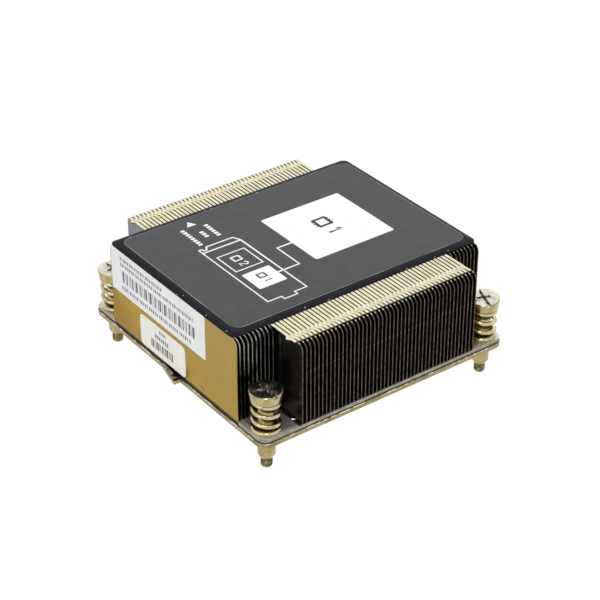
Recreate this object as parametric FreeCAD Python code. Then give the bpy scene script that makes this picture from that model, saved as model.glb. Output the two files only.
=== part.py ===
"""Passive heatsink for a server processor, in millimetres, +Z up.

A flat base is brazed from two pressed shells, a stack of folded sheet fins is soldered on it, a cover
pad with a printed film lies on the fins, and four captive spring screws pass through the corners.
The origin is the centre of the raised contact face under the base, which meets the processor.
X runs across the fins and Y along them.
"""
import FreeCAD, Part
import math
import os

V = FreeCAD.Vector

# Square pattern of the screws, and the base's reach outside it
screw_pitch = 80.0
base_reach_x = 4.8
base_reach_y = 5.0

# Base: lower and upper shell, one brazed plate
base_corner_r = 3.0
lower_shell_t = 1.6
upper_shell_t = 1.4
shell_step = 0.2

# Contact face, embossed in the lower shell
contact_width = 50.0
contact_length = 50.0
contact_r = 2.0
contact_h = 0.4

# Ear of the lower shell, a pocket round the pinched filling tube
ear_reach = 2.2
ear_back = 6.6
ear_front = -3.4
ear_rim = 0.4
ear_floor_t = 0.5
ear_height = 1.1
ear_tip_cut = 0.35
tube_d = 1.5
tube_length = 8.2
tube_lean = 9.0
tube_pinch_length = 1.4
tube_pinch_t = 0.5
tube_pinch_width = 1.6
tube_gap = 0.05
tube_side_room = 0.3

# Sheet fins: an upright wall with a flange at the top and one at the foot, both folded to -X
fin_t = 0.35
fin_pitch = 1.4
fin_height = 27.1
fin_corner_r = 2.3
flange_gap = 0.03
fin_stack_right_room = 0.6
corner_room_x = 2.8
corner_room_y = 2.1
corner_chord_count = 3

# Zipper locks of the long fins: a point on each top flange lies in a notch in the neighbour's fold
lock_inset = 5.0
lock_width = 2.4

# Cover pad and printed film
pad_t = 0.75
pad_lip = 0.25
pad_bevel = 1.6
pad_corner_r = 2.0
pad_setback_x = 0.8
pad_setback_y = 0.7
pad_shift_y = 1.0
film_t = 0.15
film_margin_x = 1.8
film_margin_y = 2.3
film_corner_r = 3.0

# Paper stickers on the end plate
sticker_t = 0.1
sticker_gap = 1.6
large_sticker_width = 50.0
large_sticker_r = 0.6
large_sticker_back_margin = 0.5
small_sticker_width = 24.2
small_sticker_height = 10.7
small_sticker_r = 1.6
small_sticker_foot_margin = 0.1
small_sticker_back_margin = 15.5

# Captive screws
head_d = 9.8
head_h = 2.1
head_rim_h = 0.9
head_foot_d = 8.6
slot_width = 1.0
slot_depth = 0.8
cross_length = 4.4
cross_depth = 1.6
shank_d = 5.2
shank_reach = 5.4
shank_taper = 1.2
shank_shoulder = 0.15
thread_d = 3.5
tip_reach = 10.1
hole_gap = 0.1
turned_side_count = 18

# Retaining clips, one in each screw's groove against the base's underside
clip_t = 0.7
clip_d = 8.6
clip_seat_d = 5.8
clip_mouth_angle = 80.0
clip_lug_angle = 30.0
clip_lug_count = 3
groove_d = 4.2
groove_play = 0.1
clip_gap = 0.06

# Springs between the base and the screw heads
spring_length = 11.3
spring_d = 8.9
wire_d = 1.3
spring_pitch = 3.2
spring_closed_turn = 0.6
spring_grind = 0.15
spring_start = 21.0
spring_step_count = 10
wire_side_count = 5

base_width = screw_pitch + 2 * base_reach_x
base_length = screw_pitch + 2 * base_reach_y
base_foot = contact_h
shell_seam = base_foot + lower_shell_t
base_top = shell_seam + upper_shell_t
fin_top = base_top + fin_height
base_left = -base_width / 2
head_foot_z = base_top + spring_length
head_top_z = head_foot_z + head_h
large_sticker_height = fin_height - small_sticker_foot_margin - small_sticker_height - sticker_gap

corners = {
    "front_left": (-1, -1, 90.0),
    "front_right": (1, -1, 70.0),
    "back_left": (-1, 1, 98.0),
    "back_right": (1, 1, 35.0),
}


def box(x, y, z):
    """A box from three (low, high) spans."""
    return Part.makeBox(x[1] - x[0], y[1] - y[0], z[1] - z[0], V(x[0], y[0], z[0]))


def arc_points(centre, radius, start, stop, chords):
    """Points along an arc in plan, with angles in degrees."""
    angles = [math.radians(start + (stop - start) * i / chords) for i in range(chords + 1)]
    return [(centre[0] + radius * math.cos(a), centre[1] + radius * math.sin(a)) for a in angles]


def rounded_corners(x, y, radius):
    """The outline of a rounded rectangle from two (low, high) spans."""
    centres = [
        (x[1] - radius, y[1] - radius),
        (x[0] + radius, y[1] - radius),
        (x[0] + radius, y[0] + radius),
        (x[1] - radius, y[0] + radius),
    ]
    outline = []
    for quarter, centre in enumerate(centres):
        outline += arc_points(centre, radius, 90 * quarter, 90 * quarter + 90, corner_chord_count)
    return outline


def face_of(points):
    """A flat face inside a closed line of points."""
    return Part.Face(Part.makePolygon(points + [points[0]]))


def skin(rings):
    """A solid between rings of as many points each, closed by a flat face at both ends."""
    faces = [face_of(rings[0]), face_of(rings[-1])]
    for low, high in zip(rings, rings[1:]):
        for k in range(len(low)):
            faces.append(face_of([low[k - 1], low[k], high[k], high[k - 1]]))
    return Part.Solid(Part.Shell(faces)).removeSplitter()


def rounded_slab(x, y, z, radius):
    """A flat slab with rounded corners from three (low, high) spans."""
    outline = [V(px, py, z[0]) for px, py in rounded_corners(x, y, radius)]
    return face_of(outline).extrude(V(0, 0, z[1] - z[0]))


def centred(size, middle=0.0):
    """A (low, high) span of a size about a middle."""
    return middle - size / 2, middle + size / 2


def turned(profile):
    """A turned piece in flat facets, from its (radius, height) profile."""
    rings = []
    for radius, z in profile:
        plan = arc_points((0, 0), radius, 0, 360, turned_side_count)[:-1]
        rings.append([V(x, y, z) for x, y in plan])
    return skin(rings)


def screw_place(side_x, side_y):
    """The place of a corner screw's axis."""
    return V(side_x * screw_pitch / 2, side_y * screw_pitch / 2, 0)


def drilled(plate):
    """The plate with a running hole for each screw shank."""
    for side_x, side_y, _ in corners.values():
        hole = turned([(shank_d / 2 + hole_gap, base_foot), (shank_d / 2 + hole_gap, base_top)])
        hole.translate(screw_place(side_x, side_y))
        plate = plate.cut(hole)
    return plate


# --- Base ---

def ear_profile(inset):
    """The lopsided ear outside the base's left edge, drawn in by an inset."""
    tip_x = base_left - ear_reach + inset
    slope = math.hypot(ear_back - ear_front, ear_reach) / ear_reach
    back_y = ear_back - inset * slope
    front_y = ear_front + inset
    return [
        V(base_left + base_corner_r, back_y, base_foot),
        V(base_left, back_y, base_foot),
        V(tip_x, front_y + ear_tip_cut, base_foot),
        V(tip_x + ear_tip_cut, front_y, base_foot),
        V(base_left + base_corner_r, front_y, base_foot),
    ]


def tube_axis():
    """Foot and direction of the filling tube, which leans out of the base's left edge."""
    lean = math.radians(tube_lean)
    direction = V(-math.sin(lean), -math.cos(lean), 0)
    mouth = V(base_left - ear_reach / 2, ear_front + ear_rim + tube_side_room, shell_seam)
    return mouth - direction * tube_length, direction


def tube_room():
    """The room that the shells leave for the filling tube."""
    foot, direction = tube_axis()
    return Part.makeCylinder(tube_d / 2 + tube_gap, tube_length, foot, direction)


def make_lower_shell():
    """The pressed lower shell with its embossed contact face and the ear's pocket."""
    x, y = centred(base_width), centred(base_length)
    slab = rounded_slab(x, y, (base_foot, shell_seam), base_corner_r)
    contact = rounded_slab(centred(contact_width), centred(contact_length), (0, base_foot), contact_r)
    ear = face_of(ear_profile(0)).extrude(V(0, 0, ear_height))
    pocket = face_of(ear_profile(ear_rim)).extrude(V(0, 0, lower_shell_t))
    pocket.translate(V(0, 0, ear_floor_t))
    outside = box((base_left - ear_reach, base_left), y, (0, base_top))
    shell = slab.fuse([contact, ear]).cut(pocket.common(outside)).cut(tube_room())
    return drilled(shell.removeSplitter())


def make_upper_shell():
    """The pressed upper shell, a step inside the lower one's edge."""
    x, y = centred(base_width - 2 * shell_step), centred(base_length - 2 * shell_step)
    slab = rounded_slab(x, y, (shell_seam, base_top), base_corner_r - shell_step)
    return drilled(slab.cut(tube_room()))


def make_fill_tube():
    """A soft tube pinched flat and cut off at its outer end."""
    foot, direction = tube_axis()
    body_length = tube_length - tube_pinch_length
    body = Part.makeCylinder(tube_d / 2, body_length, foot, direction)
    across = V(0, 0, 1).cross(direction) * (tube_pinch_width / 2)
    half = V(0, 0, tube_pinch_t / 2)
    end = foot + direction * tube_length
    lip = face_of([end - across - half, end + across - half, end + across + half, end - across + half])
    return body.fuse(lip.extrude(direction * (-tube_pinch_length - tube_pinch_t))).removeSplitter()


# --- Fins ---

def wall_blank(right_x, half_length):
    """An upright fin wall with rounded top corners, its right face at right_x."""
    r = fin_corner_r
    front = arc_points((r - half_length, fin_top - r), r, 90, 180, corner_chord_count)
    back = arc_points((half_length - r, fin_top - r), r, 0, 90, corner_chord_count)
    outline = back + front + [(-half_length, base_top), (half_length, base_top)]
    return face_of([V(right_x - fin_t, y, z) for y, z in outline]).extrude(V(fin_t, 0, 0))


def make_fin(half_length, flange_width, locked):
    """One folded fin with its right face at X = 0: wall, top flange, foot flange and end locks."""
    flange_left = -fin_t - flange_width
    top_z = (fin_top - fin_t, fin_top)
    top = box((flange_left, 0), centred(2 * (half_length - fin_corner_r)), top_z)
    foot = box((flange_left, 0), centred(2 * half_length), (base_top, base_top + fin_t))
    fin = wall_blank(0, half_length).fuse([top, foot])
    if locked:
        for side in (-1, 1):
            middle = side * (half_length - lock_inset)
            low, high = centred(lock_width, middle)
            point = face_of([V(0, low, top_z[0]), V(-fin_t, middle, top_z[0]), V(0, high, top_z[0])])
            notch = point.extrude(V(0, 0, fin_t))
            fin = fin.cut(notch)
            fin = fin.fuse(notch.translated(V(flange_left, 0, 0)))
    return fin.removeSplitter()


short_half = screw_pitch / 2 - head_d / 2 - corner_room_y
long_half = base_length / 2
long_zone = screw_pitch / 2 - head_d / 2 - corner_room_x


def make_end_plate():
    """The flat plate that closes the stack on the left."""
    return wall_blank(base_left + fin_t, short_half)


def make_fin_groups():
    """The short fins left of the long ones, the long fins, and the short fins right of them."""
    groups = {"short_fins_left": [], "long_fins": [], "short_fins_right": []}
    flange_width = fin_pitch - fin_t - flange_gap
    first = make_fin(short_half, flange_width - fin_t, False)
    short = make_fin(short_half, flange_width, False)
    long = make_fin(long_half, flange_width, True)
    for i in range(1, int((base_width - fin_stack_right_room) / fin_pitch) + 1):
        right_x = base_left + i * fin_pitch
        if abs(right_x - fin_pitch / 2) + fin_pitch / 2 <= long_zone:
            name, model = "long_fins", long
        elif right_x < 0:
            name, model = "short_fins_left", first if i == 1 else short
        else:
            name, model = "short_fins_right", short
        fin = model.copy()
        fin.translate(V(right_x, 0, 0))
        groups[name].append(fin)
    return {name: Part.makeCompound(fins) for name, fins in groups.items()}


# --- Cover and stickers ---

pad_x = centred(base_width - 2 * pad_setback_x)
pad_y = centred(2 * (short_half - pad_setback_y), pad_shift_y)


def inside(span, margin):
    """A span drawn in at both ends."""
    return span[0] + margin, span[1] - margin


def make_cover_pad():
    """A soft pad whose top edges slope down to a thin lip."""
    levels = [(fin_top, 0), (fin_top + pad_lip, 0), (fin_top + pad_t, pad_bevel)]
    rings = []
    for z, inset in levels:
        outline = rounded_corners(inside(pad_x, inset), inside(pad_y, inset), pad_corner_r - inset)
        rings.append([V(x, y, z) for x, y in outline])
    return skin(rings)


def make_cover_film():
    """The printed film on the pad's flat top."""
    low = fin_top + pad_t
    x, y = inside(pad_x, film_margin_x), inside(pad_y, film_margin_y)
    return rounded_slab(x, y, (low, low + film_t), film_corner_r)


def make_sticker(width, height, radius, back_y, foot_z):
    """A paper sticker on the end plate's outer face."""
    outline = rounded_corners((back_y - width, back_y), (foot_z, foot_z + height), radius)
    return face_of([V(base_left, y, z) for y, z in outline]).extrude(V(-sticker_t, 0, 0))


# --- Screws, clips and springs ---

def make_screw(side_x, side_y, slot_angle):
    """A turned screw with a slotted and crossed head, a groove for its clip and a threaded tip."""
    shank, thread = shank_d / 2, thread_d / 2
    shank_foot = base_foot - shank_reach
    screw = turned([
        (head_d / 2, head_top_z),
        (head_d / 2, head_top_z - head_rim_h),
        (head_foot_d / 2, head_foot_z),
        (shank, head_foot_z),
        (shank, base_foot + groove_play),
        (groove_d / 2, base_foot + groove_play),
        (groove_d / 2, base_foot - clip_t),
        (shank, base_foot - clip_t),
        (shank, shank_foot),
        (thread + shank_shoulder, shank_foot - shank_taper),
    ])
    tip_length = tip_reach - shank_reach
    screw = screw.fuse(Part.makeCylinder(thread, tip_length, V(0, 0, base_foot - tip_reach)))
    over = head_top_z + head_h
    slot = box(centred(2 * head_d), centred(slot_width), (head_top_z - slot_depth, over))
    arm = box(centred(cross_length), centred(slot_width), (head_top_z - cross_depth, over))
    cross_arm = box(centred(slot_width), centred(cross_length), (head_top_z - cross_depth, over))
    screw = screw.cut(slot.fuse([arm, cross_arm])).removeSplitter()
    screw.rotate(V(0, 0, 0), V(0, 0, 1), slot_angle)
    screw.translate(screw_place(side_x, side_y))
    return screw


def make_clip(side_x, side_y):
    """An E-shaped retaining clip that grips the screw's groove with three lugs."""
    half_mouth = clip_mouth_angle / 2
    half_lug = clip_lug_angle / 2
    lug_step = 360 / (clip_lug_count + 1)
    lug_r = (groove_d / 2 + clip_gap) / math.cos(math.radians(half_lug))
    outline = arc_points((0, 0), clip_d / 2, half_mouth, 360 - half_mouth, turned_side_count // 2)
    for k in range(clip_lug_count, 0, -1):
        middle = lug_step * k
        relief_start = middle + lug_step - half_mouth
        outline += arc_points((0, 0), clip_seat_d / 2, relief_start, middle + half_lug, 1)
        outline += arc_points((0, 0), lug_r, middle + half_lug, middle - half_lug, 1)
    clip = face_of([V(x, y, base_foot - clip_t) for x, y in outline]).extrude(V(0, 0, clip_t))
    clip.rotate(V(0, 0, 0), V(0, 0, 1), 90 - side_y * 90)
    clip.translate(screw_place(side_x, side_y))
    return clip


def spring_path():
    """The wire's centre line: flat closed turns at both ends and an even rise between them."""
    coil_r = (spring_d - wire_d) / 2
    low = wire_d / 2 - spring_grind
    rise = spring_length - 2 * low
    turns = 2 * spring_closed_turn + rise / spring_pitch
    steps = round(turns * spring_step_count)
    points = []
    for i in range(steps + 1):
        turn = turns * i / steps
        climb = min(max((turn - spring_closed_turn) * spring_pitch, 0), rise)
        angle = math.radians(spring_start - 360 * turn)
        points.append(V(coil_r * math.cos(angle), coil_r * math.sin(angle), base_top + low + climb))
    return points


def make_spring(side_x, side_y):
    """A left-handed coil of straight facets, ground flat at both ends."""
    path = spring_path()
    along = (path[1] - path[0]).normalize()
    out = along.cross(V(0, 0, 1)).normalize()
    up = out.cross(along)
    ring = arc_points((0, 0), wire_d / 2, 0, 360, wire_side_count)
    section = [path[0] + out * y + up * z for y, z in ring]
    coil = Part.makePolygon(path).makePipeShell([Part.makePolygon(section)], True, False, 1)
    space = box(centred(2 * spring_d), centred(2 * spring_d), (base_top, head_foot_z))
    spring = coil.common(space).Solids[0]
    spring.translate(screw_place(side_x, side_y))
    return spring


# --- Nodes ---

nodes = {
    "chamber_lower_shell": make_lower_shell(),
    "chamber_upper_shell": make_upper_shell(),
    "fill_tube": make_fill_tube(),
    "end_plate": make_end_plate(),
    "cover_pad": make_cover_pad(),
    "cover_film": make_cover_film(),
    "large_sticker": make_sticker(
        large_sticker_width, large_sticker_height, large_sticker_r,
        short_half - large_sticker_back_margin, fin_top - large_sticker_height),
    "small_sticker": make_sticker(
        small_sticker_width, small_sticker_height, small_sticker_r,
        short_half - small_sticker_back_margin, base_top + small_sticker_foot_margin),
}
nodes.update(make_fin_groups())
for corner, (side_x, side_y, slot_angle) in corners.items():
    nodes["screw_" + corner] = make_screw(side_x, side_y, slot_angle)
    nodes["clip_" + corner] = make_clip(side_x, side_y)
    nodes["spring_" + corner] = make_spring(side_x, side_y)

os.makedirs("parts", exist_ok=True)
for name, shape in nodes.items():
    assert shape.isValid(), name
    shape.exportStep("parts/" + name + ".step")
    print(name, len(shape.Solids), round(shape.Volume, 2))
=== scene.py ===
import math

import bmesh
import bpy
from mathutils import Matrix, Vector


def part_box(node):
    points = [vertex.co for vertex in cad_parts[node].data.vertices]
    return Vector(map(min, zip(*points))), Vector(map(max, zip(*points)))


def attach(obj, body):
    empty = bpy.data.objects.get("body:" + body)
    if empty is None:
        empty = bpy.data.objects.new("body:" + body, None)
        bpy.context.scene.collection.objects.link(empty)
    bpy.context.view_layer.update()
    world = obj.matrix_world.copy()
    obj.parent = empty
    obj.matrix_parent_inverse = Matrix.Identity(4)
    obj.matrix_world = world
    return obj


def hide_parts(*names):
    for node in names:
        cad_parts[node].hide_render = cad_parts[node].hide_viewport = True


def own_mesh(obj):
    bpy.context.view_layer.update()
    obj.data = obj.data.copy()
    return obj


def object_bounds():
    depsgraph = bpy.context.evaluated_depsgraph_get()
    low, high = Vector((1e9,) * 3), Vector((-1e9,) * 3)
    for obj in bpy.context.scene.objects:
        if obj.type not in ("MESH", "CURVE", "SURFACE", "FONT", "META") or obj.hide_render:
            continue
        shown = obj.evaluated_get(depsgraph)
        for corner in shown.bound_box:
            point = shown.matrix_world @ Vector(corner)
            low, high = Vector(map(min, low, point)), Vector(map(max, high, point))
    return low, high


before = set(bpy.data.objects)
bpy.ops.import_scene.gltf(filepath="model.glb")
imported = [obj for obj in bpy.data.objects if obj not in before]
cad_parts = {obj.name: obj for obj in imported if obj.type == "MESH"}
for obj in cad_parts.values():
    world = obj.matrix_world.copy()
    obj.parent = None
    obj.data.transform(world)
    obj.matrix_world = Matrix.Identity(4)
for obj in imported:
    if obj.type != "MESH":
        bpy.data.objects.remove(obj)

cad_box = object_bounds()

# --- Camera ---
# A long lens stands in front of the heatsink and to its left, and looks down on the
# corner with the stickers, so that the cover, the fins' open ends and the base all show.
aim = Vector((0.01036, 0.01209, 0.0004))
camera_turn = math.radians(-36.53)
camera_height = math.radians(32.32)
camera_distance = 0.56928
away = Vector((math.sin(camera_turn) * math.cos(camera_height),
               -math.cos(camera_turn) * math.cos(camera_height),
               math.sin(camera_height)))
camera_data = bpy.data.cameras.new("camera")
camera_data.lens = 108.55
camera_data.sensor_width = 36
camera_data.clip_start = 0.01
camera = bpy.data.objects.new("camera", camera_data)
camera.location = aim + away * camera_distance
camera.rotation_euler = away.to_track_quat("Z", "Y").to_euler()
bpy.context.scene.collection.objects.link(camera)
bpy.context.scene.camera = camera

# --- Floor and light ---
# The heatsink stands on the tips of its screws on a plain white table. A large soft lamp
# hangs over its back, two smaller ones fill in from the front and left, and the room is pale.
bpy.context.scene.view_settings.view_transform = "Standard"


def link(owner, source, target):
    owner.node_tree.links.new(source, target)


def new_node(owner, kind, settings=None, **inputs):
    """A node of a material or the room, with its settings and its unlinked inputs filled in."""
    node = owner.node_tree.nodes.new(kind)
    for name, value in (settings or {}).items():
        setattr(node, name, value)
    for name, value in inputs.items():
        node.inputs[name.replace("_", " ")].default_value = value
    return node


def new_material(name):
    material = bpy.data.materials.new(name)
    material.use_nodes = True
    return material


def shader_of(material):
    return material.node_tree.nodes["Principled BSDF"]


def show_bare(owner, lit, bare, output):
    """Shows the bare shader to each ray that sees the background: straight, mirrored or through
    glass. All other rays see the lit one."""
    paths = new_node(owner, "ShaderNodeLightPath")
    seen = paths.outputs["Is Camera Ray"]
    for kind in ("Is Glossy Ray", "Is Transmission Ray"):
        either = new_node(owner, "ShaderNodeMath", {"operation": "MAXIMUM"})
        link(owner, seen, either.inputs[0])
        link(owner, paths.outputs[kind], either.inputs[1])
        seen = either.outputs[0]
    mix = new_node(owner, "ShaderNodeMixShader")
    link(owner, seen, mix.inputs[0])
    link(owner, lit.outputs[0], mix.inputs[1])
    link(owner, bare.outputs[0], mix.inputs[2])
    link(owner, mix.outputs[0], owner.node_tree.nodes[output].inputs[0])


def deselect():
    for item in bpy.context.selected_objects:
        item.select_set(False)


deselect()
bpy.ops.mesh.primitive_plane_add(size=6, location=(0, 0, cad_box[0][2]))
floor = bpy.context.object
floor.name = "floor"
floor_finish = new_material("table_white")
shader_of(floor_finish).inputs["Base Color"].default_value = (0.8, 0.8, 0.8, 1)
shader_of(floor_finish).inputs["Roughness"].default_value = 0.6
floor_glow = new_node(floor_finish, "ShaderNodeEmission", Color=(1, 1, 1, 1), Strength=1.0)
show_bare(floor_finish, shader_of(floor_finish), floor_glow, "Material Output")
floor.data.materials.append(floor_finish)

world = bpy.data.worlds.new("room")
world.use_nodes = True
bpy.context.scene.world = world
room = world.node_tree.nodes["Background"]
room.inputs["Color"].default_value = (1, 1, 1, 1)
room.inputs["Strength"].default_value = 0.7
backdrop = new_node(world, "ShaderNodeBackground", Color=(1, 1, 1, 1), Strength=1.0)
show_bare(world, room, backdrop, "World Output")


def soft_lamp(name, place, size, power):
    lamp = bpy.data.lights.new(name, "AREA")
    lamp.size = size
    lamp.energy = power
    holder = bpy.data.objects.new(name, lamp)
    holder.location = place
    holder.rotation_euler = Vector(place).to_track_quat("Z", "Y").to_euler()
    bpy.context.scene.collection.objects.link(holder)


soft_lamp("lamp_over_back", (0.55, 0.60, 0.88), 1.1, 3.5)
soft_lamp("lamp_front", (-0.33, -0.44, 0.95), 0.22, 1.6)
soft_lamp("lamp_left", (-0.9, -0.3, 0.5), 0.5, 1.3)

# --- Chamber shells ---
# Two copper shells, pressed and nickel-plated, are brazed together along their rim into a
# flat base. The lower one carries the raised contact face and the ear round the tube.
mm = 0.001


def place_on(material):
    """The socket that gives a point's place on the piece."""
    return new_node(material, "ShaderNodeTexCoord").outputs["Object"]


def new_finish(name, metallic, colours, size, rough, bump=0.0):
    """A finish with a soft drift of tone and gloss, and an optional fine bump."""
    finish = new_material(name)
    shader = shader_of(finish)
    shader.inputs["Metallic"].default_value = metallic
    noise = new_node(finish, "ShaderNodeTexNoise", Scale=1 / size, Detail=4.0, Roughness=0.55)
    link(finish, place_on(finish), noise.inputs["Vector"])
    tone = new_node(finish, "ShaderNodeValToRGB")
    for end, position, colour in zip(tone.color_ramp.elements, (0.35, 0.65), colours):
        end.position = position
        end.color = (*colour, 1)
    link(finish, noise.outputs["Fac"], tone.inputs["Fac"])
    link(finish, tone.outputs["Color"], shader.inputs["Base Color"])
    gloss = new_node(finish, "ShaderNodeMapRange", To_Min=rough[0], To_Max=rough[1])
    link(finish, noise.outputs["Fac"], gloss.inputs["Value"])
    link(finish, gloss.outputs["Result"], shader.inputs["Roughness"])
    if bump:
        grain = new_node(finish, "ShaderNodeTexNoise", Scale=1 / (size * 0.06), Detail=3.0)
        link(finish, place_on(finish), grain.inputs["Vector"])
        relief = new_node(finish, "ShaderNodeBump", Strength=0.35, Distance=bump)
        link(finish, grain.outputs["Fac"], relief.inputs["Height"])
        link(finish, relief.outputs["Normal"], shader.inputs["Normal"])
    return finish


def dress(piece, body, slot, *nodes):
    """The finished piece rides on its body in place of its solids."""
    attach(piece, body)
    if nodes:
        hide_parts(*nodes)


def apply_modifier(piece, kind, **settings):
    bpy.context.view_layer.objects.active = piece
    modifier = piece.modifiers.new(kind.lower(), kind)
    for name, value in settings.items():
        setattr(modifier, name, value)
    bpy.ops.object.modifier_apply(modifier=modifier.name)


def eased_copy(node, name, ease):
    """The solid's own shape with its sharp edges broken, as a press and a tumbler leave them."""
    deselect()
    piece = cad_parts[node].copy()
    piece.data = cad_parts[node].data.copy()
    piece.parent = None
    piece.matrix_world = Matrix.Identity(4)
    piece.name = piece.data.name = name
    bpy.context.scene.collection.objects.link(piece)
    bpy.context.view_layer.objects.active = piece
    piece.select_set(True)
    bpy.ops.object.mode_set(mode="EDIT")
    bpy.ops.mesh.select_all(action="SELECT")
    bpy.ops.mesh.remove_doubles(threshold=0.002 * mm)
    bpy.ops.mesh.dissolve_limited(angle_limit=math.radians(1))
    bpy.ops.object.mode_set(mode="OBJECT")
    apply_modifier(piece, "BEVEL", width=ease, segments=2, limit_method="ANGLE", angle_limit=math.radians(50))
    bpy.ops.object.shade_smooth_by_angle(angle=math.radians(40))
    piece.data.materials.clear()
    return piece


def give_finishes(piece, finishes, choose):
    """Gives each face of a piece the one of its finishes that is chosen for it."""
    for finish in finishes:
        piece.data.materials.append(finish)
    for face in piece.data.polygons:
        face.material_index = finishes.index(choose(face))


def split_place(material):
    """The three parts of a point's place on the piece, as sockets named X, Y and Z."""
    split = new_node(material, "ShaderNodeSeparateXYZ")
    link(material, place_on(material), split.inputs["Vector"])
    return split.outputs


def overlay(finish, mask, colour):
    """Lays one more colour over a finish where the mask is 1."""
    base = shader_of(finish).inputs["Base Color"]
    under = base.links[0].from_socket
    mix = new_node(finish, "ShaderNodeMix", {"data_type": "RGBA"})
    mix.inputs["B"].default_value = (*colour, 1)
    link(finish, mask, mix.inputs["Factor"])
    link(finish, under, mix.inputs["A"])
    link(finish, mix.outputs["Result"], base)


def compare(material, operation, source, level):
    """1 where the source is less or greater than the level, else 0."""
    test = new_node(material, "ShaderNodeMath", {"operation": operation})
    test.inputs[1].default_value = level
    link(material, source, test.inputs[0])
    return test.outputs[0]


def both(material, first, second):
    """1 where both masks are 1."""
    product = new_node(material, "ShaderNodeMath", {"operation": "MULTIPLY"})
    link(material, first, product.inputs[0])
    link(material, second, product.inputs[1])
    return product.outputs[0]


shell_finish = new_finish("plated_shell", 1, ((0.46, 0.445, 0.385), (0.64, 0.62, 0.55)),
                          9 * mm, (0.5, 0.62), 0.02 * mm)
side_finish = new_finish("satin_shell_side", 1, ((0.28, 0.265, 0.21), (0.44, 0.425, 0.36)),
                         2 * mm, (0.25, 0.45), 0.04 * mm)
# A painted shadow: the upper shell's left side is darkened where it lies under the end plate.
plate_shade_right = -44.3 * mm
plate_shade_half_y = 33 * mm
split = split_place(side_finish)
across = new_node(side_finish, "ShaderNodeMath", {"operation": "ABSOLUTE"})
link(side_finish, split["Y"], across.inputs[0])
under_plate = compare(side_finish, "LESS_THAN", across.outputs[0], plate_shade_half_y)
painted_plate_shade = both(side_finish, under_plate, compare(side_finish, "LESS_THAN", split["X"], plate_shade_right))
overlay(side_finish, painted_plate_shade, (0.05, 0.038, 0.02))

rim_finish = new_finish("brazed_rim", 1, ((0.27, 0.215, 0.10), (0.46, 0.39, 0.21)),
                        4 * mm, (0.16, 0.42), 0.05 * mm)
# Painted highlights: bright patches of colour along the lower shell's upper edge, above glint_foot, stand for
# glints.
glint_foot = 1.6 * mm
seam_foot = 1.9 * mm
painted_glint_noise = new_node(rim_finish, "ShaderNodeTexNoise", Scale=0.35 / mm, Detail=2.0)
link(rim_finish, place_on(rim_finish), painted_glint_noise.inputs["Vector"])
patchy = compare(rim_finish, "GREATER_THAN", painted_glint_noise.outputs["Fac"], 0.55)
height = split_place(rim_finish)["Z"]
lit_lip = both(rim_finish, patchy, compare(rim_finish, "GREATER_THAN", height, glint_foot))
overlay(rim_finish, lit_lip, (0.95, 0.90, 0.70))
overlay(rim_finish, compare(rim_finish, "GREATER_THAN", height, seam_foot), (0.06, 0.05, 0.03))

lower_shell = eased_copy("chamber_lower_shell", "lower_shell", 0.3 * mm)
lower_shell.data.materials.append(rim_finish)
dress(lower_shell, "heatsink", "base_metal", "chamber_lower_shell")

upper_shell = eased_copy("chamber_upper_shell", "upper_shell", 0.4 * mm)
base_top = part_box("chamber_upper_shell")[1][2]
side_top = base_top - 0.3 * mm
give_finishes(upper_shell, [shell_finish, side_finish],
              lambda face: side_finish if face.center.z < side_top else shell_finish)
dress(upper_shell, "heatsink", "base_metal", "chamber_upper_shell")

# --- Filling tube ---
# A soft copper tube, through which the chamber was filled, is pinched flat and cut off at
# its outer end, and lies in the ear of the lower shell.
# The tube is coloured nearly black with paler flecks: painted shade for the dark notch under the end plate,
# and painted glints.
tube_shade_finish = new_finish("tube_painted_shade_and_glints", 1, ((0.02, 0.018, 0.014), (0.30, 0.28, 0.23)),
                         1.2 * mm, (0.15, 0.35), 0.03 * mm)
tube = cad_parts["fill_tube"]
tube.data.materials.clear()
tube.data.materials.append(tube_shade_finish)

# --- End plate ---
# A flat plated sheet closes the fin stack on the left and carries the stickers. Its plating
# is a deeper gold than the fins', and it has a small dark mark of two strokes near its front foot.


def start_piece(name, primitive, scale=(1, 1, 1), **values):
    """A primitive at its size and place, selected alone, under the piece's name."""
    deselect()
    primitive(**values)
    piece = bpy.context.object
    piece.name = piece.data.name = name
    piece.scale = scale
    bpy.ops.object.transform_apply(location=True, rotation=True, scale=True)
    return piece


def pick(piece, kind, test):
    """In edit mode, selects only the vertices, edges or faces whose middle and element pass."""
    modes = {"verts": "VERT", "edges": "EDGE", "faces": "FACE"}
    bpy.ops.mesh.select_mode(type=modes[kind])
    bpy.ops.mesh.select_all(action="DESELECT")
    mesh = bmesh.from_edit_mesh(piece.data)
    for part in getattr(mesh, kind):
        if kind == "verts":
            middle = part.co
        elif kind == "edges":
            middle = (part.verts[0].co + part.verts[1].co) / 2
        else:
            middle = part.calc_center_median()
        if test(middle, part):
            part.select_set(True)
    mesh.select_flush_mode()
    bmesh.update_edit_mesh(piece.data)


def near(a, b):
    return abs(a - b) < 0.01 * mm


def span(edge, axis):
    """How far an edge reaches along the axis 0, 1 or 2."""
    return abs(edge.verts[0].co[axis] - edge.verts[1].co[axis])


def join(parts, name):
    """Joins finished parts into the first of them, under the piece's name."""
    deselect()
    for part in parts:
        part.select_set(True)
    bpy.context.view_layer.objects.active = parts[0]
    bpy.ops.object.join()
    parts[0].name = parts[0].data.name = name
    return parts[0]


def sheet_wall(name, right_x, y, z, corner):
    """An upright flat sheet without thickness, facing right, with rounded top corners."""
    wall = start_piece(name, bpy.ops.mesh.primitive_plane_add, size=1,
                       location=(right_x, (y[0] + y[1]) / 2, (z[0] + z[1]) / 2),
                       rotation=(0, math.radians(90), 0), scale=(z[1] - z[0], y[1] - y[0], 1))
    bpy.ops.object.mode_set(mode="EDIT")
    pick(wall, "verts", lambda middle, vert: near(middle.z, z[1]))
    bpy.ops.mesh.bevel(offset=corner, segments=8, affect="VERTICES")
    return wall


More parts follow.
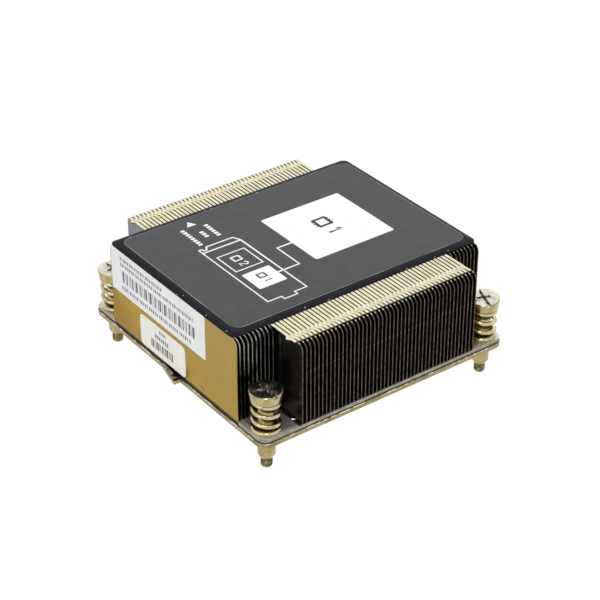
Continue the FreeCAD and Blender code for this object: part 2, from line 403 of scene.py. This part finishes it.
plate_low, plate_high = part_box("end_plate")
sheet_corner = 2.3 * mm
sheet_t = plate_high[0] - plate_low[0]
end_plate = sheet_wall("end_plate_dressed", plate_high[0], (plate_low[1], plate_high[1]),
                       (plate_low[2], plate_high[2]), sheet_corner)
bpy.ops.object.mode_set(mode="OBJECT")
apply_modifier(end_plate, "SOLIDIFY", thickness=sheet_t, offset=-1)
apply_modifier(end_plate, "BEVEL", width=0.09 * mm, segments=2, limit_method="ANGLE",
               angle_limit=math.radians(50))
bpy.ops.object.shade_smooth_by_angle(angle=math.radians(40))
plate_finish = new_finish("plate_plating", 1, ((0.37, 0.26, 0.080), (0.425, 0.30, 0.098)),
                          26 * mm, (0.26, 0.32))
shader_of(plate_finish).inputs["Specular Tint"].default_value = (1.0, 0.80, 0.48, 1)
end_plate.data.materials.append(plate_finish)
dress(end_plate, "heatsink", "fin_metal", "end_plate")

mark_finish = new_finish("dark_stroke_mark", 1, ((0.03, 0.022, 0.01), (0.10, 0.075, 0.035)),
                         1 * mm, (0.4, 0.6))
mark_size = (0.02 * mm, 0.9 * mm, 0.22 * mm)
marks = [start_piece("mark", bpy.ops.mesh.primitive_cube_add, size=1,
                     location=(plate_low[0] - mark_size[0] / 2, y, z),
                     rotation=(math.radians(lean), 0, 0), scale=mark_size)
         for y, z, lean in ((-15.0 * mm, 5.3 * mm, 12), (-15.5 * mm, 4.8 * mm, 70))]
plate_mark = join(marks, "plate_mark")
plate_mark.data.materials.append(mark_finish)
dress(plate_mark, "heatsink", "fin_metal")

# --- Fins ---
# Each fin is one strip of plated sheet: an upright wall, a flange at the top and a flange at
# the foot, both folded to the left. Long fins lock into each other with a point and a notch.
fold_r = 0.15 * mm
fin_pitch = 1.4 * mm
lock_inset = 5.0 * mm
seam_gap = 0.12 * mm
shortest_fold = 10 * mm
lock_reach = 1.0 * mm
lock_slope = 1.3
lock_play = 0.16 * mm
cut_margin = 0.02 * mm
weld_depth = 0.03 * mm


def fold_fin(name, right_x, y, z, flange):
    """One folded fin, its wall's right face at right_x."""
    inner_x, inner_z = right_x - sheet_t, (z[0] + sheet_t, z[1] - sheet_t)
    fin = sheet_wall(name, inner_x, y, inner_z, sheet_corner)
    for level in inner_z:
        pick(fin, "edges", lambda middle, edge: near(middle.z, level) and near(middle.x, inner_x)
             and span(edge, 1) > shortest_fold)
        bpy.ops.mesh.extrude_region_move(TRANSFORM_OT_translate={"value": (sheet_t - flange, 0, 0)})
    pick(fin, "edges", lambda middle, edge: (near(middle.z, inner_z[0]) or near(middle.z, inner_z[1]))
         and near(middle.x, inner_x) and span(edge, 1) > shortest_fold)
    bpy.ops.mesh.bevel(offset=fold_r, segments=3, affect="EDGES")
    bpy.ops.mesh.select_all(action="SELECT")
    bpy.ops.mesh.normals_make_consistent(inside=False)
    bpy.ops.object.mode_set(mode="OBJECT")
    # This is the strip's inner face, so it looks to the left and the sheet grows from its back.
    if max(fin.data.polygons, key=lambda face: face.area).normal.x > 0:
        fin.data.flip_normals()
    apply_modifier(fin, "SOLIDIFY", thickness=sheet_t, offset=-1)
    return fin


def lock_wedge(name, apex_x, base_x, y, z):
    """A three-sided block that points left, to cut a notch or to stand as the next fin's point."""
    length = base_x - apex_x
    half_width = length * lock_slope
    # A triangle in a circle of radius 1 is 1.5 long and reaches sin 60 degrees to each side.
    return start_piece(name, bpy.ops.mesh.primitive_cylinder_add, vertices=3, radius=1,
                       depth=z[1] - z[0], location=(apex_x + length / 1.5, y, (z[0] + z[1]) / 2),
                       rotation=(0, 0, math.radians(90)),
                       scale=(half_width / math.sin(math.radians(60)), length / 1.5, 1))


def cut_away(piece, tool):
    apply_modifier(piece, "BOOLEAN", operation="DIFFERENCE", object=tool, solver="EXACT")
    bpy.data.objects.remove(tool)


fin_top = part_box("long_fins")[1][2]
fin_finish = new_finish("fin_plating", 1, ((0.42, 0.395, 0.27), (0.52, 0.495, 0.35)),
                        3 * mm, (0.22, 0.34), 0.006 * mm)
# The upright walls inside the stack get a dark grey copy of the fin plating: painted shade for the dark gaps
# between the fins.
wall_shade_finish = new_finish("fin_wall_painted_shade", 1, ((0.15, 0.155, 0.165), (0.24, 0.24, 0.235)), 6 * mm, (0.14, 0.3))
# The cut edges and the faces below the top flange get a near-black copy of the plating: painted shade.
edge_shade_finish = new_finish("fin_cut_edge_painted_shade", 1, ((0.055, 0.047, 0.038), (0.14, 0.12, 0.09)),
                         1.3 * mm, (0.25, 0.45))
# A painted highlight: a row of small bright glints crosses the fins' cut edges at one height.
glint_row_z = 20.7 * mm
glint_row_half = 0.13 * mm
glint_row = new_node(edge_shade_finish, "ShaderNodeMath", {"operation": "COMPARE"})
glint_row.inputs[1].default_value = glint_row_z
glint_row.inputs[2].default_value = glint_row_half
link(edge_shade_finish, split_place(edge_shade_finish)["Z"], glint_row.inputs[0])
overlay(edge_shade_finish, glint_row.outputs[0], (0.22, 0.22, 0.20))
# The left short fins' cut edges get a paler copy of the edge finish: a painted highlight for the light they
# catch.
edge_highlight_finish = new_finish("fin_edge_painted_highlight", 1, ((0.16, 0.15, 0.13), (0.40, 0.385, 0.35)),
                           3 * mm, (0.15, 0.3))


def fill_stack(fin, name, count, node, cut_edge):
    """Stands the finished fin's copies side by side and gives each face its finish."""
    apply_modifier(fin, "ARRAY", count=count, use_relative_offset=False, use_constant_offset=True,
                   constant_offset_displace=(fin_pitch, 0, 0))
    deselect()
    fin.select_set(True)
    bpy.ops.object.shade_smooth_by_angle(angle=math.radians(35))
    last_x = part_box(node)[1][0]

    def choose(face):
        # Inner walls take the painted-shade wall finish; the outermost wall keeps the plate's plating.
        if abs(face.normal.x) > 0.8:
            return plate_finish if near(face.center.x, last_x) else wall_shade_finish
        # Cut edges and faces below the top flange take the edge finish passed in: painted shade on most fins,
        # painted highlight on the left short fins.
        if face.center.z < fin_top - 3 * sheet_t or abs(face.normal.y) > 0.3:
            return cut_edge
        return fin_finish

    give_finishes(fin, [fin_finish, wall_shade_finish, cut_edge, plate_finish], choose)
    fin.name = fin.data.name = name
    dress(fin, "heatsink", "fin_metal", node)


flange_reach = fin_pitch - seam_gap
left_low, left_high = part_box("short_fins_left")
right_low, right_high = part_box("short_fins_right")
long_low, long_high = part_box("long_fins")
fin_z = (long_low[2], fin_top)
left_count = round((left_high[0] - left_low[0] + sheet_t) / fin_pitch)
first_x = plate_low[0] + fin_pitch
short_y = (left_low[1], left_high[1])
left_fin = fold_fin("fin", first_x, short_y, fin_z, flange_reach - sheet_t)
fill_stack(left_fin, "short_fins_left_dressed", left_count, "short_fins_left", edge_highlight_finish)

right_count = round((right_high[0] - right_low[0]) / fin_pitch)
right_fin = fold_fin("fin", right_high[0] - (right_count - 1) * fin_pitch, short_y, fin_z, flange_reach)
fill_stack(right_fin, "short_fins_right_dressed", right_count, "short_fins_right", edge_shade_finish)

long_count = round((long_high[0] - long_low[0]) / fin_pitch)
first_long_x = long_high[0] - (long_count - 1) * fin_pitch
long_fin = fold_fin("fin", first_long_x, (long_low[1], long_high[1]), fin_z, flange_reach)
notch_z = (fin_top - sheet_t - cut_margin, fin_top + cut_margin)
notch_x = (first_long_x - lock_reach, first_long_x + cut_margin)
point_z = (fin_top - sheet_t, fin_top)
point_x = (notch_x[0] - fin_pitch + lock_play, first_long_x - flange_reach + weld_depth)
points = []
for lock_y in (lock_inset - long_high[1], long_high[1] - lock_inset):
    cut_away(long_fin, lock_wedge("notch_tool", *notch_x, lock_y, notch_z))
    points.append(lock_wedge("point", *point_x, lock_y, point_z))
fill_stack(join([long_fin] + points, "fin"), "long_fins_dressed", long_count, "long_fins", edge_shade_finish)

# --- Solder beads ---
# Two bright beads of solder have run out on the base: a 1.6 mm one beside the foot of the
# first long fin, and a 1 mm one at the back corner of the end plate.
bead_finish = new_finish("bright_solder", 1, ((0.70, 0.70, 0.66), (0.88, 0.88, 0.85)),
                         0.8 * mm, (0.12, 0.3))
beads = {
    "bead_front": ((-31.8 * mm, -41.5 * mm, base_top + sheet_t), (0.8 * mm, 0.28 * mm, 0.3 * mm)),
    "bead_back": ((-44.75 * mm, 33.5 * mm, base_top), (0.3 * mm, 0.5 * mm, 0.35 * mm)),
}
for name, (place, reach) in beads.items():
    bead = start_piece(name, bpy.ops.mesh.primitive_uv_sphere_add, segments=24, ring_count=12, radius=1,
                       location=place, rotation=(0, 0, math.radians(-36)), scale=reach)
    bpy.ops.object.mode_set(mode="EDIT")
    bpy.ops.mesh.select_all(action="SELECT")
    bpy.ops.mesh.bisect(plane_co=place, plane_no=(0, 0, -1), use_fill=True, clear_outer=True)
    bpy.ops.object.mode_set(mode="OBJECT")
    bpy.ops.object.shade_smooth_by_angle(angle=math.radians(50))
    bead.data.materials.append(bead_finish)
    dress(bead, "heatsink", "base_metal")

# --- Cover pad ---
# A soft black pad is glued over the fins' tops to close the stack. Its rim slopes down to a
# thin lip, and its skin is scuffed and holds a few pale specks.
pad_low, pad_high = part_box("cover_pad")
pad_lip = 0.25 * mm
pad_slope = 1.6 * mm


def slab(name, low, high, corner):
    """A flat block with rounded upright corners, left in edit mode."""
    piece = start_piece(name, bpy.ops.mesh.primitive_cube_add, size=1,
                        location=(Vector(low) + Vector(high)) / 2,
                        scale=Vector(high) - Vector(low))
    bpy.ops.object.mode_set(mode="EDIT")
    pick(piece, "edges", lambda middle, edge: span(edge, 2) > 0.5 * (high[2] - low[2]))
    bpy.ops.mesh.bevel(offset=corner, segments=8, affect="EDGES")
    return piece


pad_overhang = 0.78 * mm
pad_corner = 2.0 * mm
pad = slab("pad_dressed", (pad_low[0] - pad_overhang, pad_low[1], pad_low[2]),
           (pad_high[0], pad_high[1], pad_low[2] + pad_lip), pad_corner)
pick(pad, "faces", lambda middle, face: face.normal.z > 0.9)
bpy.ops.mesh.inset(thickness=pad_slope)
bpy.ops.transform.translate(value=(0, 0, pad_high[2] - pad_low[2] - pad_lip))
bpy.ops.object.mode_set(mode="OBJECT")
apply_modifier(pad, "BEVEL", width=0.12 * mm, segments=2, limit_method="ANGLE",
               angle_limit=math.radians(12))
bpy.ops.object.shade_smooth_by_angle(angle=math.radians(40))
pad_finish = new_finish("scuffed_foam", 0, ((0.003, 0.003, 0.006), (0.009, 0.009, 0.014)),
                        2.5 * mm, (0.5, 0.7), 0.05 * mm)
shader_of(pad_finish).inputs["Specular IOR Level"].default_value = 0.14
dots = new_node(pad_finish, "ShaderNodeTexVoronoi", Scale=0.36 / mm)
link(pad_finish, place_on(pad_finish), dots.inputs["Vector"])
specks = compare(pad_finish, "LESS_THAN", dots.outputs["Distance"], 0.11)
overlay(pad_finish, specks, (0.30, 0.30, 0.28))
pad.data.materials.append(pad_finish)
dress(pad, "heatsink", "pad", "cover_pad")

# --- Cover film ---
# A charcoal polyester film with a satin face lies on the pad's flat top. Its cut edge is a
# shade lighter than its face.
film_low, film_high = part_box("cover_film")
ink_t = 0.02 * mm
film_corner = 3.0 * mm
film_edge_w = 0.16 * mm
film = slab("film_dressed", film_low, (film_high[0], film_high[1], film_high[2] - ink_t), film_corner)
pick(film, "faces", lambda middle, face: face.normal.z > 0.9)
bpy.ops.mesh.inset(thickness=film_edge_w)
bpy.ops.object.mode_set(mode="OBJECT")
film_finish = new_finish("charcoal_film", 0, ((0.034, 0.037, 0.037), (0.050, 0.053, 0.053)),
                         5 * mm, (0.34, 0.5), 0.004 * mm)
shader_of(film_finish).inputs["Specular IOR Level"].default_value = 0.2
film_edge = new_finish("film_cut_edge", 0, ((0.07, 0.07, 0.075), (0.34, 0.34, 0.35)), 9 * mm, (0.4, 0.6))
film_area = (film_high[0] - film_low[0]) * (film_high[1] - film_low[1])
give_finishes(film, [film_finish, film_edge],
              lambda face: film_finish if abs(face.normal.z) > 0.5
              and (face.normal.z < 0 or face.area > 0.5 * film_area) else film_edge)
dress(film, "heatsink", "film", "cover_film")

# --- Print on the film ---
# White screen-printed ink shows the outline of a server board seen from above, with the two
# processor places as squares. A line leads from one place to a large numbered square.
ink_finish = new_finish("white_ink", 0, ((0.93, 0.93, 0.93), (0.98, 0.98, 0.98)), 5 * mm, (0.45, 0.55))
bare_ink = new_finish("film_coloured_ink", 0, ((0.03, 0.031, 0.03), (0.045, 0.046, 0.045)),
                      5 * mm, (0.4, 0.5))
shader_of(bare_ink).inputs["Specular IOR Level"].default_value = 0.2
ink_z = film_high[2] - ink_t
second_coat_z = ink_z + ink_t / 2


def patch(low, high, corner):
    """A field of ink with rounded corners, one coat thick, from sizes in millimetres."""
    field = slab("print", (low[0] * mm, low[1] * mm, ink_z),
                 (high[0] * mm, high[1] * mm, ink_z + ink_t / 2), corner * mm)
    bpy.ops.object.mode_set(mode="OBJECT")
    return field


def drawn_wire(name, points, radius, roundness, closed=False, capped=False):
    """A round wire through its points, as a mesh, selected alone."""
    wire = bpy.data.curves.new(name, "CURVE")
    wire.dimensions = "3D"
    wire.bevel_depth = radius
    wire.bevel_resolution = roundness
    wire.use_fill_caps = capped
    run = wire.splines.new("POLY")
    run.points.add(len(points) - 1)
    for spot, point in zip(run.points, points):
        spot.co = (*point, 1)
    run.use_cyclic_u = closed
    holder = bpy.data.objects.new(name, wire)
    bpy.context.scene.collection.objects.link(holder)
    deselect()
    holder.select_set(True)
    bpy.context.view_layer.objects.active = holder
    bpy.ops.object.convert(target="MESH")
    return bpy.context.object


def stroke(points, width, z, closed=False):
    """A printed line through points on the film, one coat thick, from sizes in millimetres."""
    line = drawn_wire("print", [(x * mm, y * mm, 0) for x, y in points], width * mm / 2, 1, closed)
    line.scale = (1, 1, ink_t / 2 / (width * mm))
    line.location = (0, 0, z + ink_t / 4)
    bpy.ops.object.transform_apply(location=True, rotation=True, scale=True)
    return line


def chip_sign(x, y, size):
    """A small square with three short legs on two sides, the sign for a processor."""
    half = size / 2
    square = [(x - half, y - half), (x + half, y - half), (x + half, y + half), (x - half, y + half)]
    parts = [stroke(square, size * 0.34, second_coat_z, True)]
    for k in (-1, 0, 1):
        leg_y = y + k * half * 0.6
        for side in (-1, 1):
            leg = [(x + side * half, leg_y), (x + side * half * 1.45, leg_y)]
            parts.append(stroke(leg, size * 0.15, second_coat_z))
    return parts


def figure_one(x, y, height):
    """The figure 1, read from the left side of the heatsink."""
    flag = (x + height * 0.25, y + height * 0.22)
    stem = [(x + height * 0.5, y), (x - height * 0.5, y)]
    return stroke([flag] + stem, height * 0.2, second_coat_z)


def figure_two(x, y, height):
    """The figure 2, read from the left side of the heatsink."""
    wide = height * 0.28
    bend = [(x + height * (0.22 + 0.28 * math.sin(math.radians(a))), y + wide * math.cos(math.radians(a)))
            for a in range(0, 210, 30)]
    foot = [(x - height * 0.45, y + wide), (x - height * 0.45, y - wide)]
    return stroke(bend + foot, height * 0.2, second_coat_z)


def arrow_head(x, y, reach):
    """A solid triangle that points to the back."""
    return start_piece("print", bpy.ops.mesh.primitive_cylinder_add, vertices=3, radius=reach * mm,
                       depth=ink_t / 2, location=(x * mm, y * mm, ink_z + ink_t / 4))


def print_piece(name, parts, finish, slot="film"):
    """Joins printed parts into one piece of one ink."""
    for part in parts:
        part.data.materials.append(finish)
    dress(join(parts, name), "heatsink", slot)


large_square = ((-1.7, -12.3), (27.7, 16.0))
small_square = ((-24.5, -15.9), (-14.8, -6.5))
lead_line = [(-1.7, -0.1), (-7.1, -0.1), (-7.1, -11.2), (-14.8, -11.2)]
board_outline = [(-26.6, 12.4), (-25.7, 12.4), (-25.3, 11.4), (-24.5, 11.4), (-23.6, 12.9), (-14.2, 12.9),
                 (-13.0, 10.5), (-12.9, -22.6), (-17.3, -22.6), (-17.3, -24.1), (-21.8, -24.1),
                 (-21.8, -22.6), (-26.6, -22.6)]
board_line = [(-26.4, 10.3), (-13.1, 10.3)]
place_frame = [(-15.0, 5.8), (-15.0, -4.0), (-24.6, -4.0), (-24.6, 5.8)]
dash_rows = ((-16.5, 23.6, 6), (-19.9, 20.9, 3), (-24.2, 24.7, 8))
dash_pitch = 1.38
white_parts = [patch(*large_square, 0.7), patch(*small_square, 0.5), stroke(lead_line, 0.8, ink_z),
               stroke(board_outline, 0.72, ink_z, True), stroke(board_line, 0.66, ink_z),
               stroke(place_frame, 0.72, ink_z, True), arrow_head(-20.1, 26.7, 1.9),
               figure_two(-20.0, -1.4, 2.7)] + chip_sign(-20.2, 2.2, 2.4)
for x, first_y, count in dash_rows:
    for k in range(count):
        y = first_y - dash_pitch * k
        white_parts.append(patch((x - 0.7, y - 0.5), (x + 0.7, y + 0.5), 0.25))
print_piece("white_print", white_parts, ink_finish)
dark_parts = [figure_one(13.2, -2.0, 4.6), figure_one(-19.5, -13.1, 2.5)]
dark_parts += chip_sign(13.0, 4.4, 4.2) + chip_sign(-19.7, -9.9, 2.2)
print_piece("dark_print", dark_parts, bare_ink)

# --- Stickers ---
# Two paper labels, one white and one cream, are stuck on the end plate. Their print is rows
# of short dashes and bars of uneven width, without letters.
large_low, large_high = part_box("large_sticker")
small_low, small_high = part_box("small_sticker")
paper_x = large_low[0] + ink_t


def paper_label(name, low, high, corner):
    """A paper rectangle that stands on the plate, with rounded corners."""
    label = start_piece(name, bpy.ops.mesh.primitive_cube_add, size=1,
                        location=((paper_x + high[0]) / 2, (low[1] + high[1]) / 2, (low[2] + high[2]) / 2),
                        scale=(high[0] - paper_x, high[1] - low[1], high[2] - low[2]))
    bpy.ops.object.mode_set(mode="EDIT")
    pick(label, "edges", lambda middle, edge: span(edge, 0) > 0.01 * mm)
    bpy.ops.mesh.bevel(offset=corner, segments=6, affect="EDGES")
    bpy.ops.object.mode_set(mode="OBJECT")
    return label


def printed_bar(y, z, width, height):
    """One upright bar of print, its left end at y, on the face of a label."""
    return start_piece("bar", bpy.ops.mesh.primitive_cube_add, size=1,
                       location=(paper_x - ink_t / 4, (y - width / 2) * mm, (z + height / 2) * mm),
                       scale=(ink_t / 2, width * mm, height * mm))


def bar_row(start_y, stop_y, z, height, widths, gaps):
    """A row of bars from back to front, with widths and gaps that come round in turn."""
    bars = []
    y = start_y
    while y > stop_y:
        k = len(bars)
        bars.append(printed_bar(y, z, widths[k % len(widths)], height))
        y -= widths[k % len(widths)] + gaps[k % len(gaps)]
    return bars


paper_finish = new_finish("label_paper", 0, ((0.84, 0.84, 0.845), (0.90, 0.90, 0.90)),
                          7 * mm, (0.45, 0.6), 0.006 * mm)
cream_finish = new_finish("cream_label_paper", 0, ((0.88, 0.865, 0.81), (0.93, 0.92, 0.87)),
                          7 * mm, (0.45, 0.6), 0.006 * mm)
grey_ink = new_finish("worn_black_ink", 0, ((0.05, 0.05, 0.055), (0.22, 0.22, 0.23)), 2.2 * mm, (0.5, 0.7))
faint_ink = new_finish("thin_black_ink", 0, ((0.08, 0.08, 0.085), (0.30, 0.30, 0.31)), 1.0 * mm, (0.5, 0.7))

large_label = paper_label("large_label", large_low, large_high, 0.6 * mm)
large_label.data.materials.append(paper_finish)
dress(large_label, "heatsink", "sticker_paper", "large_sticker")
small_label = paper_label("small_label", small_low, small_high, 1.6 * mm)
small_label.data.materials.append(cream_finish)
dress(small_label, "heatsink", "sticker_paper", "small_sticker")

bars = bar_row(26.4, -11.6, 20.3, 3.8, (1.0, 0.25, 0.6, 0.2, 0.35, 0.8, 0.25), (0.75, 0.3, 0.9, 0.35, 0.6))
bars += bar_row(11.8, 0.2, 5.5, 2.8, (0.3, 0.75, 0.2, 0.5, 0.9, 0.3), (0.35, 0.3, 0.55, 0.3))
print_piece("label_bars", bars, grey_ink, "sticker_paper")
dashes = bar_row(27.4, 4.4, 27.6, 1.15, (0.6, 0.35, 0.7, 0.5), (0.45, 0.6, 0.35))
dashes += bar_row(27.4, -11.4, 25.6, 1.15, (0.5, 0.7, 0.35, 0.6), (0.5, 0.35, 0.7, 0.4, 0.4))
dashes += bar_row(27.0, -10.4, 17.6, 1.2, (0.65, 0.4, 0.6, 0.5), (0.45, 0.5, 0.4, 0.9, 0.4))
dashes += bar_row(7.0, 3.8, 11.9, 1.2, (0.6, 0.45), (0.4,))
dashes += bar_row(9.6, 2.4, 9.4, 1.4, (0.75, 0.6), (0.4,))
print_piece("label_dashes", dashes, faint_ink, "sticker_paper")

# --- Captive screws ---
# Four steel screws are turned, plated and held in the base by a clip. The head is slotted
# and crossed, a shoulder runs through the base, and the thread ends in a chamfered tip.


def turned_piece(name, profile, sides=48):
    """A closed turned shape about the Z axis, drawn up ring by ring from its profile."""
    radius, z = profile[0]
    piece = start_piece(name, bpy.ops.mesh.primitive_circle_add, vertices=sides, radius=radius,
                        location=(0, 0, z), fill_type="NGON")
    bpy.ops.object.mode_set(mode="EDIT")
    bpy.ops.mesh.select_all(action="SELECT")
    for (r0, z0), (r1, z1) in zip(profile, profile[1:]):
        bpy.ops.mesh.extrude_region_move(TRANSFORM_OT_translate={"value": (0, 0, z1 - z0)})
        bpy.ops.transform.resize(value=(r1 / r0, r1 / r0, 1), center_override=(0, 0, z1))
    bpy.ops.mesh.select_all(action="SELECT")
    bpy.ops.mesh.remove_doubles(threshold=0.001 * mm)
    bpy.ops.mesh.normals_make_consistent(inside=False)
    bpy.ops.object.mode_set(mode="OBJECT")
    return piece


def head_cutter(size):
    """A block centred on the top of the head."""
    return start_piece("tool", bpy.ops.mesh.primitive_cube_add, size=1, location=(0, 0, head_z), scale=size)


base_foot = 0.4 * mm
screw_low, screw_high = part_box("screw_front_left")
tip_z, head_z = screw_low[2], screw_high[2]
head_r = 4.87 * mm
head_foot = head_z - 2.1 * mm
head_chamfer = 0.14 * mm
skirt_r = 4.53 * mm
skirt_foot = head_foot - 0.85 * mm
shoulder_r = 2.6 * mm
shoulder_foot = -5.0 * mm
groove_r = 2.1 * mm
groove_z = (base_foot - 0.7 * mm, base_foot + 0.1 * mm)
thread_r = 1.75 * mm
root_r = 1.56 * mm
thread_pitch = 0.5 * mm
thread_top = shoulder_foot - 1.3 * mm
thread_foot = tip_z + 0.75 * mm
slot_size = (11 * mm, 1.0 * mm, 1.6 * mm)
cross_size = (4.4 * mm, 1.05 * mm, 3.2 * mm)
screw = turned_piece("screw", [
    (1.05 * mm, tip_z), (root_r, tip_z + 0.45 * mm), (root_r, thread_top),
    (1.9 * mm, shoulder_foot - 1.2 * mm), (shoulder_r, shoulder_foot), (shoulder_r, groove_z[0]),
    (groove_r, groove_z[0]), (groove_r, groove_z[1]), (shoulder_r, groove_z[1]), (shoulder_r, head_foot),
    (skirt_r, head_foot), (skirt_r, skirt_foot), (4.62 * mm, skirt_foot),
    (4.80 * mm, head_foot + 1.1 * mm), (head_r, head_foot + 1.2 * mm), (head_r, head_z - head_chamfer),
    (4.72 * mm, head_z), (0.4 * mm, head_z)])
for size in (slot_size, cross_size, (cross_size[1], cross_size[0], cross_size[2])):
    cut_away(screw, head_cutter(size))
apply_modifier(screw, "BEVEL", width=0.1 * mm, segments=2, limit_method="ANGLE",
               angle_limit=math.radians(60))

ridge = start_piece("ridge", bpy.ops.mesh.primitive_plane_add, size=1,
                    location=(root_r - 0.1 * mm, 0, thread_foot), rotation=(math.radians(90), 0, 0),
                    scale=(0.2 * mm, 0.3 * thread_pitch, 1))
bpy.ops.object.mode_set(mode="EDIT")
pick(ridge, "edges", lambda middle, edge: near(middle.x, root_r))
bpy.ops.mesh.extrude_region_move(TRANSFORM_OT_translate={"value": (thread_r - root_r, 0, 0)})
bpy.ops.transform.resize(value=(1, 1, 0.3))
bpy.ops.mesh.select_all(action="SELECT")
bpy.ops.mesh.delete(type="ONLY_FACE")
pick(ridge, "edges", lambda middle, edge: near(middle.x, root_r) and span(edge, 0) < 0.001 * mm)
bpy.ops.mesh.delete(type="EDGE")
bpy.ops.object.mode_set(mode="OBJECT")
turns = int((thread_top - thread_foot) / thread_pitch)
apply_modifier(ridge, "SCREW", angle=math.radians(360), screw_offset=thread_pitch, iterations=turns,
               steps=24, render_steps=24, use_merge_vertices=False)
bpy.ops.object.mode_set(mode="EDIT")
bpy.ops.mesh.select_all(action="SELECT")
bpy.ops.mesh.remove_doubles(threshold=0.001 * mm)
bpy.ops.mesh.select_mode(type="EDGE")
bpy.ops.mesh.select_all(action="DESELECT")
bpy.ops.mesh.select_non_manifold()
bpy.ops.mesh.fill_holes(sides=8)
bpy.ops.mesh.select_all(action="SELECT")
bpy.ops.mesh.normals_make_consistent(inside=False)
bpy.ops.object.mode_set(mode="OBJECT")
join([screw, ridge], "screw")
bpy.ops.object.shade_smooth_by_angle(angle=math.radians(25))

screw_finish = new_finish("plated_screw", 1, ((0.33, 0.315, 0.24), (0.43, 0.415, 0.33)),
                          3 * mm, (0.12, 0.26), 0.004 * mm)
# The head's side gets a gold copy of the neutral head plating: a painted reflection.
head_side_reflection_finish = new_finish("head_side_painted_reflection", 1, ((0.40, 0.31, 0.12), (0.58, 0.48, 0.24)),
                         2 * mm, (0.12, 0.26))
stud_finish = new_finish("dull_plated_stud", 1, ((0.38, 0.28, 0.11), (0.54, 0.43, 0.21)),
                         2 * mm, (0.22, 0.36), 0.01 * mm)
# The thread is coloured darker and greener than the stud.
thread_finish = new_finish("darker_thread", 1, ((0.13, 0.115, 0.05), (0.54, 0.48, 0.27)),
                           0.9 * mm, (0.2, 0.42), 0.02 * mm)
# The slot and cross are coloured dark with bright flecks: painted shade in the recess and painted glints.
recess_shade_glint_finish = new_finish("recess_painted_shade_and_glints", 1, ((0.06, 0.055, 0.045), (0.85, 0.83, 0.76)),
                           0.8 * mm, (0.15, 0.35))
recess_top = head_z - 0.12 * mm
recess_r = 4.4 * mm


def screw_part_finish(face):
    """The finish of the screw's thread, stud, recess, head side or top."""
    middle = face.center
    if middle.z < thread_top:
        return thread_finish
    if middle.z < base_foot:
        return stud_finish
    if middle.z > recess_top:
        return screw_finish
    in_recess = middle.z > head_foot + 0.01 * mm and Vector(middle[:2]).length < recess_r
    return recess_shade_glint_finish if in_recess else head_side_reflection_finish


give_finishes(screw, [screw_finish, stud_finish, recess_shade_glint_finish, thread_finish, head_side_reflection_finish],
              screw_part_finish)

slot_turns = {"front_left": 90, "front_right": 70, "back_left": 98, "back_right": 35}


def copy_to(piece, name, place, turn=0.0):
    """A copy with its own mesh, turned about its axis and stood at its corner."""
    twin = piece.copy()
    twin.data = piece.data.copy()
    twin.name = twin.data.name = name
    twin.data.transform(Matrix.Translation(place) @ Matrix.Rotation(math.radians(turn), 4, "Z"))
    bpy.context.scene.collection.objects.link(twin)
    return twin


def screw_axis(corner):
    """The point on a corner screw's axis at the level of the base's foot."""
    low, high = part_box("screw_" + corner)
    return ((low[0] + high[0]) / 2, (low[1] + high[1]) / 2, 0)


for corner, turn in slot_turns.items():
    twin = copy_to(screw, "screw_" + corner + "_dressed", screw_axis(corner), turn)
    dress(twin, "screw_" + corner, "screw_steel", "screw_" + corner)
bpy.data.objects.remove(screw)

# --- Clips ---
# A stamped E-clip sits in each screw's groove against the underside of the base. It is dark
# spring steel with a thin plating.
clip_finish = new_finish("spring_clip", 1, ((0.30, 0.29, 0.27), (0.50, 0.49, 0.45)),
                         1.5 * mm, (0.22, 0.4), 0.01 * mm)
for corner in slot_turns:
    clip = eased_copy("clip_" + corner, "clip_" + corner + "_dressed", 0.08 * mm)
    clip.data.materials.append(clip_finish)
    dress(clip, "clip_" + corner, "clip_steel", "clip_" + corner)

# --- Springs ---
# A left-handed coil of plated wire stands round each screw between base and head. Its end
# turns are closed and ground flat.
spring_low, spring_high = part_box("spring_front_left")
wire_r = 0.65 * mm
coil_r = 3.8 * mm
coil_pitch = 3.2 * mm
closed_turn = 0.6
spring_start = 21.0
grind = 0.15 * mm
spring_length = spring_high[2] - spring_low[2]
rise = spring_length - 2 * (wire_r - grind)
coil_turns = 2 * closed_turn + rise / coil_pitch
coil_steps = round(coil_turns * 40)
first_z = spring_low[2] + wire_r - grind
wire_line = []
for k in range(coil_steps + 1):
    turn = coil_turns * k / coil_steps
    climb = min(max((turn - closed_turn) * coil_pitch, 0), rise)
    angle = math.radians(spring_start - 360 * turn)
    wire_line.append((coil_r * math.cos(angle), coil_r * math.sin(angle), first_z + climb))
spring = drawn_wire("spring", wire_line, wire_r, 4, capped=True)
bpy.ops.object.mode_set(mode="EDIT")
for level, side in ((spring_low[2], -1), (spring_high[2], 1)):
    bpy.ops.mesh.select_all(action="SELECT")
    bpy.ops.mesh.bisect(plane_co=(0, 0, level), plane_no=(0, 0, side), use_fill=True, clear_outer=True)
bpy.ops.mesh.select_all(action="SELECT")
bpy.ops.mesh.normals_make_consistent(inside=False)
bpy.ops.object.mode_set(mode="OBJECT")
bpy.ops.object.shade_smooth_by_angle(angle=math.radians(50))
spring_finish = new_finish("plated_spring", 1, ((0.46, 0.38, 0.19), (0.66, 0.60, 0.40)),
                           2 * mm, (0.08, 0.2))
spring.data.materials.append(spring_finish)
for corner in slot_turns:
    place = screw_axis(corner)
    coil = copy_to(spring, "spring_" + corner + "_dressed", place)
    dress(coil, "heatsink", "spring_steel", "spring_" + corner)
    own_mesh(coil)
bpy.data.objects.remove(spring)
